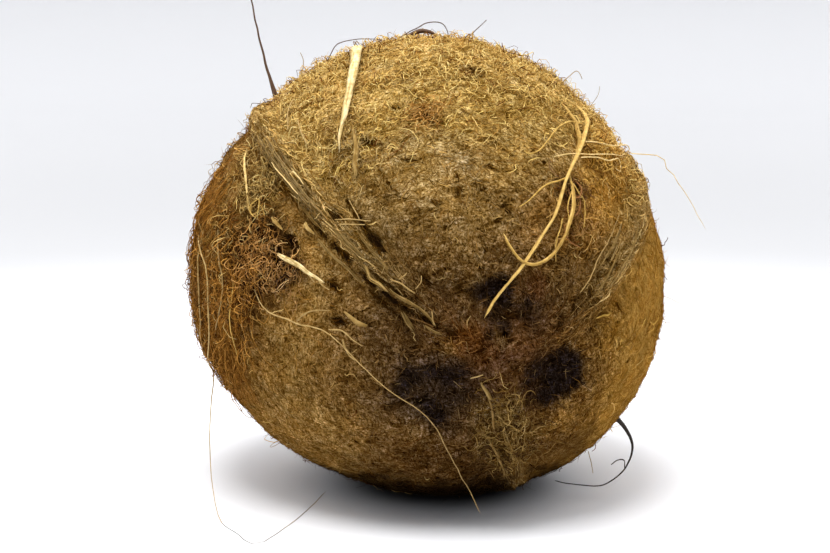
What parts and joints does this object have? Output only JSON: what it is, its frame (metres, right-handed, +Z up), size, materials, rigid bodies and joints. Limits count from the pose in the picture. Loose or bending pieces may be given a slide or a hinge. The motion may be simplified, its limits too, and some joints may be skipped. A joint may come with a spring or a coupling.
{
  "type": "coconut",
  "caption": "Whole brown coconut with its husk pulled off, covered in matted coir, with raised seams meeting between soft eyes and a small flat spot to rest on.",
  "frame": {"origin": "middle of the small flat spot that the nut rests on", "axes": "+Z up as the nut lies. The eye end points to -Y, turned 13 degrees towards +X and dipped 12.6 degrees."},
  "size_m": [0.1136, 0.1181, 0.1159],
  "materials": {
    "coir": "matted brown coir felt, dry and fully matte, golden tan on top, grey-tan along the seams, near black at the eyes"
  },
  "bodies": {
    "root": {"coconut": "coir"}
  },
  "joints": []
}
